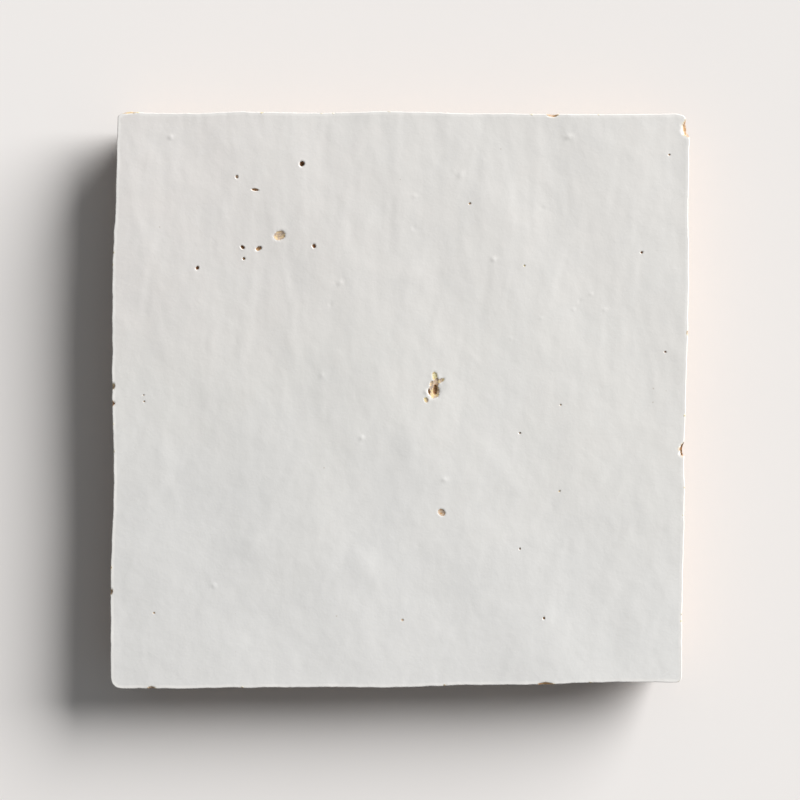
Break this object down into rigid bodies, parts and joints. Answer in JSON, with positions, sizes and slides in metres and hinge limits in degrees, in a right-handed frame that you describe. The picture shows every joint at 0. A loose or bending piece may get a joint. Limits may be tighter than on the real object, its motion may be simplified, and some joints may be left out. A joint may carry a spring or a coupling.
{
  "type": "zellige tile",
  "caption": "Square hand-cut clay tile with a rippled, pitted off-white glazed face, chipped wavy edges and hammered sides that lean in to a flat bed.",
  "frame": {"origin": "on the flat bed, under the middle of the tile's outline", "axes": "+Z out of the glazed face; +X towards the side that is at the right in the picture and +Y towards the side that is at its top"},
  "size_m": [0.1008, 0.1004, 0.0112],
  "materials": {
    "glaze": "gloss",
    "clay": "matte"
  },
  "bodies": {
    "root": {"zellige_tile": "glaze"}
  },
  "joints": []
}
